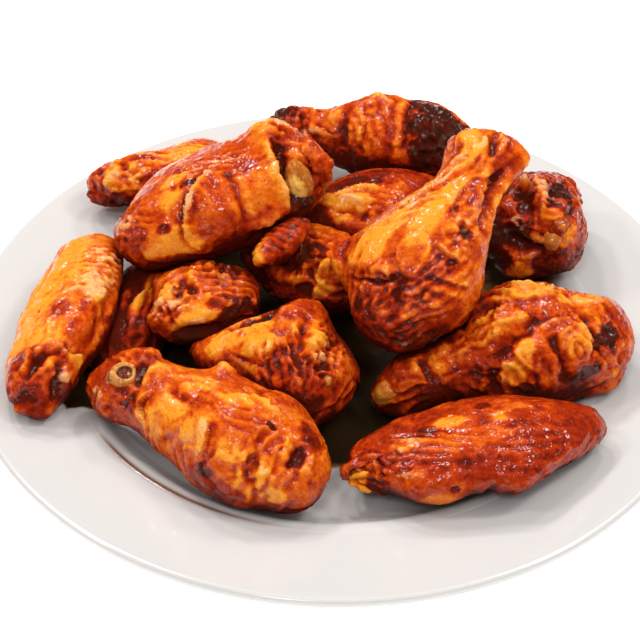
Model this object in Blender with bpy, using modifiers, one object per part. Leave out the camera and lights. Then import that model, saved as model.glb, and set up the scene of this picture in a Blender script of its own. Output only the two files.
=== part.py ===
"""A serving of roast chicken wings heaped on a white dinner plate.

The plate is a turned shell. Each wing is one solid, lofted along a bowed spine from its thin tip to
its thick heel, pressed clear of the plate and of the wings that it lies against. The frame is
metres, +Z up, with its origin under the middle of the plate's foot ring.
"""

import math

import bmesh
import bpy
from mathutils import Matrix, Vector, noise
from mathutils.bvhtree import BVHTree

MM = 0.001  # the sizes below are in millimetres

# The plate's turned section
PLATE_RADIUS = 130.0
RIM_HEIGHT = 23.0
RIM_EDGE = 1.7  # radius of the rim's rounded edge
WELL_RADIUS = 92.5  # where the rim turns down into the well
WELL_EDGE_HEIGHT = 15.5
FLOOR_RADIUS = 78.0
FLOOR_HEIGHT = 7.0
FLOOR_THICKNESS = 4.2
SHELL = 4.0  # thickness of the well's wall and of the rim's root
FOOT_RADIUS = 74.0
FOOT_WIDTH = 7.0
PLATE_STEPS = 48

# The grid of a wing's skin
AROUND = 18
ALONG = 13
GAP = 0.35  # how far pieces that touch stand off each other
REACH = 9.0  # the deepest that a wing is pressed in
NUDGE = 0.15  # how far past the gap each press goes
PRESSES = 40
LUMP_HEIGHT = 1.3
LUMP_SIZE = 17.0

CHINA_COLOR = (0.86, 0.85, 0.83)
GOLDEN = (0.72, 0.25, 0.03)
ROASTED = (0.36, 0.06, 0.012)

# Half width and half depth along a wing, as shares of the greatest, against the share of its length
DRUMETTE = {
    "width": ((0.0, 0.34), (0.09, 0.52), (0.22, 0.47), (0.42, 0.70), (0.64, 0.97), (0.80, 1.0), (1.0, 0.62)),
    "depth": ((0.0, 0.40), (0.09, 0.56), (0.22, 0.50), (0.42, 0.72), (0.64, 0.98), (0.80, 1.0), (1.0, 0.66)),
}
FLAT = {
    "width": ((0.0, 0.46), (0.14, 0.78), (0.34, 0.97), (0.56, 1.0), (0.78, 0.90), (0.92, 0.70), (1.0, 0.50)),
    "depth": ((0.0, 0.62), (0.14, 0.86), (0.34, 1.0), (0.56, 0.98), (0.78, 0.95), (0.92, 0.82), (1.0, 0.60)),
}

# Each wing: kind, tip and heel (ends of its spine), width, depth, roll in degrees, bow (sideways, up),
# web (how thin its left edge gets), tone (0 golden, 1 dark) and bumps (share of length, angle, height,
# reach). Angle 0 is the right side, seen from the tip, and 90 the top. Wings come in the order in
# which the heap was laid.
WINGS = {
    "flat_left": dict(
        kind=FLAT, tip=(-103, -42, 27), heel=(-84, 24, 34), width=31, depth=25, roll=-8, bow=(0, 3),
        web=0.3, tone=0.1,
        bumps=((0.0, 180, 2.0, 9.0), (0.0, 0, 6.0, 9.0), (0.3, 0, 3.0, 12.0), (0.92, 150, 4.5, 9.0)),
    ),
    "drumette_front_left": dict(
        kind=DRUMETTE, tip=(-78, -40, 26), heel=(-13, -80, 25), width=43, depth=37, roll=0, bow=(-2, 2),
        web=0.1, tone=0.3,
        bumps=((0.04, 130, 7.0, 8.0), (0.23, 130, 6.5, 10.0), (0.48, 135, 6.0, 7.0), (0.9, 150, 5.0, 12.0)),
    ),
    "flat_front_right": dict(
        kind=FLAT, tip=(82, -58, 26), heel=(10, -70, 19), width=44, depth=27, roll=14, bow=(-3, 4),
        web=0.3, tone=0.6, bumps=((0.35, 190, 4.0, 7.0), (0.8, 190, 3.0, 9.0)),
    ),
    "drumette_right": dict(
        kind=DRUMETTE, tip=(18, -31, 16), heel=(91, -15, 30), width=45, depth=38, roll=0, bow=(0, 3),
        web=0.1, tone=0.6,
        bumps=((0.14, 90, 3.0, 9.0), (0.62, 120, 6.0, 13.0), (1.0, 90, 3.5, 10.0), (1.0, -15, 5.5, 11.0)),
    ),
    "wing_deep_left": dict(
        kind=FLAT, tip=(-78, -22, 17), heel=(-65, 28, 22), width=30, depth=24, roll=0, bow=(0, 1),
        web=0.1, tone=0.6, bumps=(),
    ),
    "flat_centre_left": dict(
        kind=FLAT, tip=(-58, -13, 33), heel=(-34, 13, 27), width=37, depth=25, roll=0, bow=(0, 2),
        web=0.2, tone=0.5, bumps=((0.1, 60, 2.0, 7.0),),
    ),
    "drumette_centre": dict(
        kind=DRUMETTE, tip=(-43, -21, 27), heel=(-3, -31, 25), width=46, depth=39, roll=0, bow=(0, 1),
        web=0.1, tone=0.6, bumps=((1.0, 20, 6.0, 9.0), (0.75, 130, 4.0, 12.0), (0.9, 330, 5.0, 12.0)),
    ),
    "wing_deep_centre": dict(
        kind=FLAT, tip=(-26, 27, 29), heel=(14, 9, 32), width=32, depth=32, roll=0, bow=(0, 1),
        web=0.1, tone=0.8, bumps=(),
    ),
    "drumette_back_left": dict(
        kind=DRUMETTE, tip=(-91, 66, 30), heel=(-36, 80, 28), width=34, depth=28, roll=0, bow=(0, 1),
        web=0.1, tone=0.3, bumps=((0.25, 120, 3.5, 12.0),),
    ),
    "flat_back": dict(
        kind=FLAT, tip=(-14, 40, 30), heel=(38, 63, 32), width=38, depth=24, roll=0, bow=(0, 2),
        web=0.2, tone=0.2, bumps=(),
    ),
    "drumette_right_back": dict(
        kind=DRUMETTE, tip=(55, 66, 33), heel=(82, 36, 34), width=42, depth=38, roll=0, bow=(0, 1),
        web=0.1, tone=0.9,
        bumps=((1.0, 60, 4.0, 9.0), (0.55, 180, 3.0, 8.0), (1.0, 300, 7.0, 11.0), (0.7, 325, 3.5, 10.0)),
    ),
    "drumette_back": dict(
        kind=DRUMETTE, tip=(-24, 98, 35), heel=(48, 85, 32), width=37, depth=38, roll=0, bow=(0, 3),
        web=0.1, tone=0.7, bumps=((0.1, 90, 3.0, 8.0), (0.4, 120, 4.5, 9.0), (0.95, 110, 4.0, 11.0)),
    ),
    "drumette_top_left": dict(
        kind=FLAT, tip=(-71, 20, 43), heel=(-12, 46, 55), width=46, depth=34, roll=0, bow=(0, 3),
        web=0.1, tone=0.4, bumps=((0.0, 0, 4.0, 11.0), (0.93, 90, 6.0, 12.0), (1.0, 0, 3.0, 9.0)),
    ),
    "strand_centre_left": dict(
        kind=FLAT, tip=(-11, 21, 50), heel=(-29, 4, 45), width=13, depth=11, roll=0, bow=(0, 0),
        web=0.0, tone=0.5, bumps=(),
    ),
    "drumette_top_right": dict(
        kind=DRUMETTE, tip=(53, 30, 75), heel=(18, -21, 41), width=46, depth=36, roll=0, bow=(-2, 3),
        web=0.1, tone=0.3,
        bumps=(
            (0.02, 0, 5.0, 9.0), (0.0, 180, 6.0, 8.0), (0.55, 0, 4.0, 11.0), (0.85, 10, 8.0, 10.0),
            (0.9, 250, 5.0, 13.0),
        ),
    ),
}


def clear_scene():
    for obj in list(bpy.data.objects):
        bpy.data.objects.remove(obj)


def make_material(name, color, roughness):
    material = bpy.data.materials.new(name)
    material.use_nodes = True
    shader = material.node_tree.nodes["Principled BSDF"]
    shader.inputs["Base Color"].default_value = (*color, 1.0)
    shader.inputs["Roughness"].default_value = roughness
    shader.inputs["Metallic"].default_value = 0.0
    return material


def add_object(name, mesh, material, collection):
    mesh.materials.append(material)
    obj = bpy.data.objects.new(name, mesh)
    collection.objects.link(obj)
    return obj


def arc(centre, radius, start, end, count):
    """Points on an arc, with its angles in degrees from +X."""
    angles = (math.radians(start + (end - start) * i / (count - 1)) for i in range(count))
    return [(centre[0] + radius * math.cos(a), centre[1] + radius * math.sin(a)) for a in angles]


def ease(points, share):
    """Value at a share of the length, smooth through (share, value) stations."""
    for (low, first), (high, last) in zip(points, points[1:]):
        if share <= high:
            step = (share - low) / (high - low)
            return first + (last - first) * step * step * (3 - 2 * step)
    return points[-1][1]


def plate_profile():
    """The plate's half section, from the middle of the floor out over the rim and back underneath."""
    under_rim = WELL_EDGE_HEIGHT - SHELL
    well_run = WELL_RADIUS - FLOOR_RADIUS
    well_rise = WELL_EDGE_HEIGHT - FLOOR_HEIGHT
    shares = (0.0, 0.25, 0.5, 0.75, 1.0)
    well = [(FLOOR_RADIUS + well_run * s, FLOOR_HEIGHT + well_rise * s * s * (3 - 2 * s)) for s in shares]
    rim_edge = arc((PLATE_RADIUS - RIM_EDGE, RIM_HEIGHT - RIM_EDGE), RIM_EDGE, 90, -90, 5)
    foot_inside = FOOT_RADIUS - FOOT_WIDTH
    under = [
        (WELL_RADIUS + SHELL, under_rim + 0.4),
        (FOOT_RADIUS + 3.0, FLOOR_HEIGHT - FLOOR_THICKNESS + 0.6),
        (FOOT_RADIUS, 0.0),
        (foot_inside, 0.0),
        (foot_inside - 2.0, FLOOR_HEIGHT - FLOOR_THICKNESS),
        (0.0, FLOOR_HEIGHT - FLOOR_THICKNESS),
    ]
    return [(0.0, FLOOR_HEIGHT)] + well + rim_edge + under


def build_plate(material, collection):
    mesh = bpy.data.meshes.new("plate")
    points = [(r * MM, 0.0, z * MM) for r, z in plate_profile()]
    mesh.from_pydata(points, [(i, i + 1) for i in range(len(points) - 1)], [])
    obj = add_object("plate", mesh, material, collection)
    screw = obj.modifiers.new("turn", "SCREW")
    screw.axis = "Z"
    screw.steps = PLATE_STEPS
    screw.render_steps = PLATE_STEPS
    screw.use_merge_vertices = True
    screw.merge_threshold = 0.00005
    screw.use_smooth_shade = True
    return obj


class Spine:
    """A wing's bowed centre line, with the directions of its right side and its top."""

    def __init__(self, tip, heel, bow, roll):
        self.tip = Vector(tip)
        self.heel = Vector(heel)
        self.along = (self.heel - self.tip).normalized()
        side = self.along.cross(Vector((0, 0, 1))).normalized()
        top = side.cross(self.along)
        turn = Matrix.Rotation(math.radians(roll), 3, self.along)
        self.bow = side * bow[0] + top * bow[1]
        self.side = turn @ side
        self.top = turn @ top

    def point(self, share):
        lift = 4.0 * share * (1.0 - share)
        return self.tip.lerp(self.heel, share) + self.bow * lift


def section_point(wing, spine, share, angle):
    """A point of the loft's skin, at an angle round the spine in degrees."""
    turn = math.radians(angle)
    half_width = wing["width"] / 2 * ease(wing["kind"]["width"], share)
    half_depth = wing["depth"] / 2 * ease(wing["kind"]["depth"], share)
    thinning = 1.0 - wing["web"] * (1.0 - math.cos(turn)) / 2
    across = half_width * math.cos(turn)
    up = half_depth * math.sin(turn) * thinning
    return spine.point(share) + spine.side * across + spine.top * up


def loft(name, wing):
    """The wing's closed skin: rings along the spine, a smaller ring at each end, and two poles."""
    spine = Spine(wing["tip"], wing["heel"], wing["bow"], wing["roll"])
    seed = Vector((7.3 * len(name), 3.1 * ord(name[0]), 1.7 * ord(name[-1])))
    bumps = [(section_point(wing, spine, *place), height, reach) for *place, height, reach in wing["bumps"]]
    shares = [i / (ALONG - 1) for i in range(ALONG)]
    mesh = bmesh.new()

    def shaped(point, centre):
        outward = (point - centre).normalized()
        lump = noise.noise(point / LUMP_SIZE + seed) * LUMP_HEIGHT
        for place, height, reach in bumps:
            lump += height * math.exp(-((point - place).length / reach) ** 2)
        return (point + outward * lump) * MM

    def ring(share, shrink, shift):
        centre = spine.point(share)
        verts = []
        for k in range(AROUND):
            skin = section_point(wing, spine, share, 360.0 * k / AROUND)
            skin = centre + (skin - centre) * shrink + spine.along * shift
            verts.append(mesh.verts.new(shaped(skin, centre)))
        return verts

    round_off = wing["depth"] / 2
    tip_round = round_off * wing["kind"]["depth"][0][1]
    heel_round = round_off * wing["kind"]["depth"][-1][1]
    rings = [ring(0.0, 0.70, -0.62 * tip_round)]
    rings += [ring(share, 1.0, 0.0) for share in shares]
    rings.append(ring(1.0, 0.72, 0.60 * heel_round))
    for lower, upper in zip(rings, rings[1:]):
        for k in range(AROUND):
            after = (k + 1) % AROUND
            mesh.faces.new((lower[k], upper[k], upper[after], lower[after]))
    tip_pole = mesh.verts.new((spine.tip - spine.along * tip_round * 0.95) * MM)
    heel_pole = mesh.verts.new((spine.heel + spine.along * heel_round * 0.92) * MM)
    for k in range(AROUND):
        after = (k + 1) % AROUND
        mesh.faces.new((tip_pole, rings[0][k], rings[0][after]))
        mesh.faces.new((heel_pole, rings[-1][after], rings[-1][k]))
    bmesh.ops.recalc_face_normals(mesh, faces=mesh.faces)
    return mesh


def swollen_tree(obj):
    """A search tree of a laid piece's skin, swollen by the gap that the others keep from it."""
    mesh = obj.evaluated_get(bpy.context.evaluated_depsgraph_get()).data
    points = [vert.co + vert.normal * GAP * MM for vert in mesh.vertices]
    return BVHTree.FromPolygons(points, [face.vertices[:] for face in mesh.polygons])


def press_clear(mesh, laid):
    """Presses the soft skin in, a little at a time, wherever it would run into a piece already laid."""
    for _ in range(PRESSES):
        clear = True
        for tree in laid:
            for vert in mesh.verts:
                place, normal, _, _ = tree.find_nearest(vert.co, REACH * MM)
                if place is not None and (vert.co - place).dot(normal) < 0.0:
                    vert.co = place + normal * NUDGE * MM
            mesh.faces.ensure_lookup_table()
            crossing = {own for own, _ in BVHTree.FromBMesh(mesh).overlap(tree)}
            clear = clear and not crossing
            for vert in {vert for index in crossing for vert in mesh.faces[index].verts}:
                vert.co += tree.find_nearest(vert.co)[1] * NUDGE * MM
        if clear:
            return


def build_wing(name, wing, material, collection, laid):
    mesh = loft(name, wing)
    press_clear(mesh, laid)
    made = bpy.data.meshes.new(name)
    mesh.to_mesh(made)
    mesh.free()
    made.shade_smooth()
    return add_object(name, made, material, collection)


def main():
    clear_scene()
    serving = bpy.data.collections.new("chicken_wings_serving")
    bpy.context.scene.collection.children.link(serving)
    china = make_material("plate_china", CHINA_COLOR, 0.18)
    laid = [swollen_tree(build_plate(china, serving))]
    for name, wing in WINGS.items():
        skin = make_material("skin_" + name, Vector(GOLDEN).lerp(Vector(ROASTED), wing["tone"]), 0.38)
        laid.append(swollen_tree(build_wing(name, wing, skin, serving, laid)))


main()
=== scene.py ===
"""Looks for the chicken wings serving: skin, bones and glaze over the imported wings, and a fine plate."""

import math

import bmesh
import bpy
import numpy as np
from mathutils import Matrix, Vector
from mathutils.bvhtree import BVHTree


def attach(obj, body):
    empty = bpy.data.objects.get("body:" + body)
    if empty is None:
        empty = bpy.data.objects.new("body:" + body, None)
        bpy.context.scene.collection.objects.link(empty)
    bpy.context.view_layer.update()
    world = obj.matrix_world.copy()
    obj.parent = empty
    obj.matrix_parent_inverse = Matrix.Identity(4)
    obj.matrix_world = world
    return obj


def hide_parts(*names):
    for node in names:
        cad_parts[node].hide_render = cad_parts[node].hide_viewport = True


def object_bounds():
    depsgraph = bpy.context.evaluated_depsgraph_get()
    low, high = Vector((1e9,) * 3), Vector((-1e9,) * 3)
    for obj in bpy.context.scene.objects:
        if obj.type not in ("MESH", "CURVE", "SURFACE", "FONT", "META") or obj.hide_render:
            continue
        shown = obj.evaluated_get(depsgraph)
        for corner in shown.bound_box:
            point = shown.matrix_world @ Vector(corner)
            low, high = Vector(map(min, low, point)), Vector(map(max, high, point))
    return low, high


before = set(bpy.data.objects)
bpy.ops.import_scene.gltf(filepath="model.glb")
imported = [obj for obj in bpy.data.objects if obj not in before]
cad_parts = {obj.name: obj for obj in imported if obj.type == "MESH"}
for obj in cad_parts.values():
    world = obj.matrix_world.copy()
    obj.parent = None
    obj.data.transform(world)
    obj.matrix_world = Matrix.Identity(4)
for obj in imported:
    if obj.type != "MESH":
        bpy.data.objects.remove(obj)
cad_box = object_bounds()

MM = 0.001

# Skin mesh of a wing
VOXEL = 2.6 * MM
SMOOTHING = 14  # rounds that melt the facets of the solid away
CLEAR_OVER = 2.5 * MM  # relief fades in over this distance from a neighbour
SKY_RAYS = 24
SKY_REACH = 45 * MM  # how near a neighbour has to be to shade a point

# Tip and heel of each wing's spine in millimetres, as in the model, and its looks: tone (0 golden, 1
# dark red), char (share of dark roast) and wet (share of sauce). Places on the skin are (share of the
# length from tip to heel, angle in degrees round the spine: 0 the right side seen from the tip, 90 the
# top). A spot adds its half widths along and around in millimetres, and sometimes a turn in degrees.
# A lump is a spot with a height; a lip or a groove is a line of places, its height and its width.
# Pleats are rows of ridges over a spot: their turn (0 round the wing, 90 along it), gap and height.
# Some dark spots paint the shade along a wing's lower edge, many paler spots paint highlights of sheen, and a few tones
# are set darker to paint the shade a wing lies in.
WINGS = {
    "flat_left": dict(
        tip=(-103, -42, 27), heel=(-84, 24, 34), tone=0.22, char=0.12, wet=0.7,
        gold=((0.4, 130, 26, 8), (0.8, 118, 13, 6), (0.22, 78, 7, 5), (0.64, 78, 6, 5)),
        orange=((0.3, 62, 6, 4), (0.75, 60, 9, 5)),
        red=((0.37, 82, 5, 4), (0.43, 47, 5, 4), (0.3, 42, 10, 5), (0.05, 110, 5, 4), (0.14, 52, 5, 3), (-0.03, 95, 8, 12), (0.03, 60, 8, 14)),
        dark=((0.0, 15, 6, 7), (0.4, 5, 25, 4), (0.04, 75, 4, 3), (-0.12, 60, 5, 12)),
        pale=((0.72, 48, 14, 8), (0.55, 60, 8, 5), (0.35, 130, 16, 5), (0.85, 95, 8, 5), (0.05, 32, 3, 3)),
        creased=((0.7, 55, 14, 9), (0.0, 80, 8, 9)),
        pleats=((0.72, 58, 16, 9, 25, 3.0, 0.8), (0.4, 95, 14, 7, 70, 3.0, 0.4), (0.1, 60, 7, 9, 60, 3.4, 0.9)),
        rough=0.6,
        lumps=((-0.05, 110, 8, 7, 1.8), (0.05, 32, 4, 3, 2.2), (-0.1, -20, 4, 5, 2.5), (0.3, 45, 9, 4, 1.4)),
        grooves=(
            (((0.13, 65), (0.05, 74), (-0.05, 86)), 2.2, 1.6), (((0.1, 45), (0.0, 30), (-0.05, 5)), 2.6, 2.0),
            (((0.2, 30), (0.5, 26), (0.75, 30)), 1.2, 2.0),
        ),
        lips=((((0.14, 100), (0.06, 84), (-0.02, 72)), 1.8, 2.4), (((0.2, 60), (0.16, 40), (0.2, 18)), 1.6, 2.5)),
    ),
    "drumette_front_left": dict(
        tip=(-78, -40, 26), heel=(-13, -80, 25), tone=0.4, char=0.16, wet=0.75,
        gold=(
            (0.43, 66, 7, 5), (0.47, 106, 8, 4), (0.6, 48, 8, 5), (0.78, 48, 5, 5), (0.68, 98, 8, 3),
            (1.0, 10, 4, 3), (0.93, 38, 5, 2), (0.35, 35, 6, 5),
        ),
        orange=((0.85, 108, 8, 5), (0.36, 100, 6, 6)),
        rust=((0.26, 95, 8, 10), (0.79, 78, 10, 8), (0.49, 82, 6, 3), (0.7, 42, 3, 4)),
        red=(
            (0.14, 40, 9, 8), (0.15, 128, 5, 5), (0.68, 58, 3, 3), (0.72, 8, 9, 5),
            (0.78, 3, 11, 4), (1.0, -25, 8, 5), (0.1, 60, 5, 4), (0.02, 75, 6, 12),
        ),
        dark=((0.23, 50, 3, 4), (0.7, 20, 4, 3), (1.02, 84, 3, 7), (1.0, 130, 5, 4), (0.17, 100, 3, 3)),
        pale=((0.62, 55, 6, 4), (0.92, 42, 6, 1.5), (0.42, 74, 4, 2), (0.05, 30, 4, 4)),
        burnt=((0.7, 18, 3, 2), (0.87, 95, 2, 1.5)),
        creased=((0.12, 40, 9, 9), (0.95, 60, 10, 16)),
        pleats=((0.92, 45, 9, 15, 0, 3.4, 1.0), (0.55, 95, 14, 6, 75, 3.4, 0.5), (0.15, 110, 8, 8, 60, 3.0, 0.8)),
        rough=0.7,
        lumps=(
            (0.27, 112, 7, 6, 2.6), (0.15, 130, 4, 4, 2.6), (0.5, 138, 4, 4, 3.0), (0.83, 45, 3, 3, 1.2),
            (0.63, 60, 10, 8, 1.5), (0.1, 30, 7, 7, 1.5),
        ),
        grooves=(
            (((1.0, 112), (1.02, 84), (1.0, 50)), 2.8, 1.9), (((0.88, 62), (0.9, 40), (0.9, 12)), 1.8, 1.4),
            (((0.2, 118), (0.19, 95), (0.22, 70)), 2.4, 1.8), (((0.38, 100), (0.4, 85), (0.5, 78)), 1.4, 1.6),
        ),
        lips=(
            (((0.3, 78), (0.27, 50), (0.32, 22)), 1.8, 2.6), (((0.62, 100), (0.74, 112), (0.9, 118)), 1.7, 2.6),
            (((0.64, 72), (0.68, 50), (0.66, 25)), 1.3, 2.4),
        ),
    ),
    "flat_front_right": dict(
        tip=(82, -58, 26), heel=(10, -70, 19), tone=0.64, char=0.15, wet=0.85,
        gold=((0.38, 98, 5, 3), (0.5, 122, 9, 3), (0.62, 92, 7, 3), (0.66, 128, 5, 3), (0.74, 172, 7, 4), (1.05, 160, 3, 3)),
        orange=((0.82, 112, 7, 4), (0.5, 118, 8, 3), (0.3, 85, 6, 3)),
        rust=((0.6, 125, 16, 5), (0.85, 150, 8, 5)),
        red=(
            (0.05, 115, 13, 11), (0.2, 148, 10, 5), (0.45, 152, 14, 4), (0.85, 92, 8, 3), (0.9, 135, 7, 5),
            (0.3, 100, 6, 3), (0.72, 140, 6, 3),
        ),
        dark=((0.6, 143, 3, 2), (0.72, 98, 4, 3), (0.45, 74, 3, 2), (0.98, 165, 3, 3), (0.3, 178, 14, 3)),
        # The first three of these spots are painted highlights: white streaks of sheen
        pale=((0.88, 122, 4, 1.2, 15), (0.8, 112, 1.5, 3), (0.82, 148, 6, 1.5), (0.2, 100, 4, 1.5)),
        burnt=((0.66, 161, 2, 1.5), (0.93, 175, 3, 2)),
        creased=((0.9, 130, 9, 10),),
        pleats=((0.75, 120, 16, 8, 70, 3.0, 0.7), (0.3, 140, 18, 9, 80, 3.4, 0.5), (0.98, 140, 6, 9, 60, 2.8, 1.0)),
        lumps=((0.4, 175, 5, 4, 1.4), (0.7, 172, 8, 5, 1.6), (0.3, 110, 14, 6, 0.8), (0.75, 110, 9, 5, 0.8)),
        grooves=(
            (((0.95, 112), (0.8, 132), (0.6, 140), (0.4, 136)), 0.3, 2.0),
            (((0.52, 185), (0.5, 170), (0.49, 158)), 0.9, 1.6), (((0.9, 95), (0.7, 104), (0.5, 104)), 0.3, 1.8),
        ),
        lips=((((1.0, 100), (0.95, 130), (0.97, 160)), 1.6, 2.4),),
        rough=0.4,
    ),
    "drumette_right": dict(
        tip=(18, -31, 16), heel=(91, -15, 30), tone=0.56, char=0.26, wet=0.75,
        gold=(
            (-0.03, 50, 4, 4), (0.26, 75, 6, 5), (0.72, 106, 13, 4), (0.55, 28, 3, 6), (0.63, 50, 4, 4),
            (0.93, 95, 7, 4),
        ),
        orange=((0.83, 45, 6, 5), (0.95, -18, 7, 6), (0.45, 95, 8, 4), (0.97, 70, 5, 6)),
        rust=((0.53, 76, 12, 4.5), (0.3, 60, 10, 8), (0.75, 60, 7, 7)),
        red=((0.1, 60, 6, 6), (0.72, 40, 6, 5), (0.35, 40, 8, 5)),
        dark=((0.54, 50, 3.5, 3), (0.43, 38, 5, 4), (0.82, 14, 7, 4), (0.98, 35, 4, 6), (0.2, 20, 8, 6)),
        pale=((0.8, 118, 10, 3), (0.62, 92, 5, 1.2, 10), (-0.05, 45, 3, 3), (0.75, 68, 5, 3)),
        burnt=((0.58, 11, 5, 3), (1.0, 42, 4, 5), (0.85, 12, 6, 3)),
        creased=((0.8, 115, 14, 7), (0.97, 40, 8, 14), (0.6, 30, 8, 8)),
        pleats=((0.75, 112, 14, 6, 60, 3.0, 1.2), (0.5, 75, 14, 6, 85, 3.6, 0.8), (0.92, 50, 8, 12, 30, 3.2, 1.2)),
        lumps=(
            (0.55, 80, 12, 5, 2.2), (0.75, 108, 10, 6, 1.8), (0.85, 50, 7, 6, 2.0), (0.95, -18, 7, 7, 2.0),
            (0.6, 38, 6, 6, 1.4), (0.1, 60, 6, 6, 1.6), (1.02, 85, 5, 5, 1.8), (0.5, 118, 9, 6, 4.0),
        ),
        grooves=(
            (((0.4, 52), (0.52, 56), (0.66, 66), (0.8, 74)), 2.2, 2.2), (((0.72, 62), (0.76, 36), (0.74, 8)), 1.8, 1.9),
            (((0.9, 75), (0.93, 45), (0.9, 15)), 2.0, 1.8), (((0.2, 100), (0.19, 70), (0.22, 35)), 1.8, 1.8),
            (((0.48, 46), (0.46, 25), (0.5, 5)), 1.8, 1.8),
        ),
        lips=((((0.42, 94), (0.56, 96), (0.7, 92)), 1.6, 2.2), (((0.64, 122), (0.78, 110), (0.9, 112)), 1.5, 2.0)),
    ),
    "wing_deep_left": dict(
        # Its dark tone paints the shade it lies in between its neighbours.
        tip=(-78, -22, 17), heel=(-65, 28, 22), tone=0.70, char=0.35, wet=0.3,
        gold=((0.4, 80, 12, 3), (0.62, 70, 9, 3)), dark=((0.2, 90, 9, 9),),
        grooves=((((0.1, 75), (0.4, 92), (0.7, 85)), 2.0, 2.0), (((0.15, 60), (0.4, 68), (0.65, 62)), 1.6, 1.6)),
    ),
    "flat_centre_left": dict(
        tip=(-58, -13, 33), heel=(-34, 13, 27), tone=0.44, char=0.24, wet=0.65,
        gold=((0.0, 42, 7, 5), (0.12, 30, 5, 3), (0.1, 110, 4, 4)),
        orange=((0.3, 62, 6, 4), (0.2, 110, 5, 3)), rust=((0.45, 85, 8, 9), (0.6, 50, 6, 6)),
        red=((0.5, 105, 6, 4), (0.68, 75, 4, 6), (-0.1, 60, 4, 5)),
        dark=((0.28, 38, 4, 2.5), (0.7, 95, 5, 6), (0.45, 20, 6, 4)),
        pale=((0.08, 20, 4, 2), (-0.08, 110, 3, 4), (0.0, 75, 3, 2)),
        burnt=((0.35, 14, 6, 5), (0.1, 88, 2, 2), (0.6, 20, 3, 3), (0.1, -10, 8, 4)),
        creased=((0.0, 100, 8, 9), (0.6, 80, 8, 12)),
        pleats=((0.5, 85, 8, 10, 50, 3.0, 1.0), (0.0, 85, 6, 8, 70, 2.8, 1.0)),
        lumps=((0.45, 100, 8, 6, 2.0), (0.0, 105, 5, 5, 1.6), (0.05, 30, 7, 4, 1.4)),
        grooves=((((0.25, 118), (0.18, 92), (0.22, 62)), 2.0, 1.8), (((-0.1, 10), (0.1, 2), (0.35, 10)), 2.5, 2.2)),
        lips=((((0.2, 70), (0.32, 40), (0.5, 28)), 1.5, 2.2),),
    ),
    "drumette_centre": dict(
        tip=(-43, -21, 27), heel=(-3, -31, 25), tone=0.5, char=0.22, wet=0.6,
        gold=((0.17, 66, 8, 4), (0.47, 62, 7, 6), (0.42, 86, 6, 4), (0.08, 45, 4, 4)),
        orange=((0.88, 80, 4, 9), (0.65, 85, 5, 4)),
        red=((0.68, 42, 9, 7), (0.88, 35, 8, 8), (0.66, 106, 6, 5), (0.98, 100, 4, 6)),
        dark=((0.7, 38, 5, 3), (1.06, 42, 3, 4), (0.9, 10, 10, 5), (0.6, 15, 9, 4)),
        pale=((0.98, 72, 1.5, 7), (0.5, 56, 4, 3)),
        burnt=((0.52, 113, 6, 3), (0.33, 107, 5, 2)),
        creased=((0.75, 40, 12, 12), (1.0, 80, 6, 12)),
        pleats=((0.75, 45, 10, 12, 30, 3.2, 1.2), (1.0, 70, 6, 12, 80, 3.0, 1.2)),
        lumps=((0.9, 82, 4, 8, 2.2), (0.62, 108, 7, 6, 2.0), (0.45, 66, 8, 6, 1.4), (1.12, 45, 4, 4, 2.0)),
        grooves=(
            (((0.1, 92), (0.35, 104), (0.56, 104)), 2.6, 1.9), (((0.8, 105), (0.8, 70), (0.84, 40)), 1.8, 1.7),
            (((1.0, 95), (1.02, 65), (1.0, 40)), 1.8, 1.6),
        ),
        lips=((((0.56, 82), (0.6, 60), (0.55, 32)), 1.5, 2.4), (((0.2, 42), (0.4, 36), (0.6, 38)), 1.6, 2.2)),
    ),
    "wing_deep_centre": dict(
        tip=(-26, 27, 29), heel=(14, 9, 32), tone=0.46, char=0.28, wet=0.35,
        gold=((0.7, 20, 5, 4),), orange=((0.22, -10, 5, 5), (0.85, 50, 5, 6)),
        red=((0.1, 20, 6, 6),), dark=((0.55, 12, 4, 3), (0.35, 50, 7, 5)),
        burnt=((0.5, 62, 9, 5), (0.5, 12, 3, 2)), pale=((0.4, 62, 6, 3),),
        creased=((0.45, 60, 18, 12),),
        grooves=((((0.1, 42), (0.35, 38), (0.6, 34)), 2.2, 2.0), (((0.55, 60), (0.58, 30), (0.5, 0)), 2.0, 2.0)),
        lips=((((0.2, 75), (0.5, 52), (0.8, 60)), 1.8, 2.4),),
    ),
    "drumette_back_left": dict(
        tip=(-91, 66, 30), heel=(-36, 80, 28), tone=0.38, char=0.14, wet=0.65,
        gold=((0.6, 82, 16, 6), (0.25, 62, 4, 4)),
        orange=((0.35, 70, 9, 8), (0.1, 50, 6, 6)),
        red=((-0.02, 75, 6, 8), (0.3, 100, 6, 3), (0.05, 10, 8, 5), (0.45, 50, 12, 4)),
        dark=((-0.12, 30, 3, 5), (0.2, -5, 12, 4)),
        pale=((0.5, 118, 20, 3), (0.12, 62, 3, 1.5)),
        creased=((0.1, 60, 9, 12),),
        lumps=((0.05, 60, 5, 6, 1.6),),
        grooves=((((0.17, 110), (0.18, 70), (0.17, 25)), 1.1, 1.7), (((0.02, 95), (0.03, 60), (0.0, 25)), 0.8, 1.6)),
        pleats=((0.1, 60, 8, 12, 80, 3.2, 0.4), (0.5, 70, 16, 7, 80, 3.4, 0.6)),
        lips=((((0.3, 60), (0.5, 66), (0.8, 60)), 1.2, 3.0),),
    ),
    "flat_back": dict(
        # Its tone is set darker to paint the shade it lies in.
        tip=(-14, 40, 30), heel=(38, 63, 32), tone=0.64, char=0.14, wet=0.6,
        gold=((0.4, 82, 12, 5), (0.3, 60, 8, 6), (0.22, 95, 5, 4)),
        orange=((0.7, 80, 10, 6),), red=((0.62, 92, 9, 4), (0.85, 80, 6, 8)),
        dark=((0.08, 60, 6, 9), (0.5, 115, 16, 5)),
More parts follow.
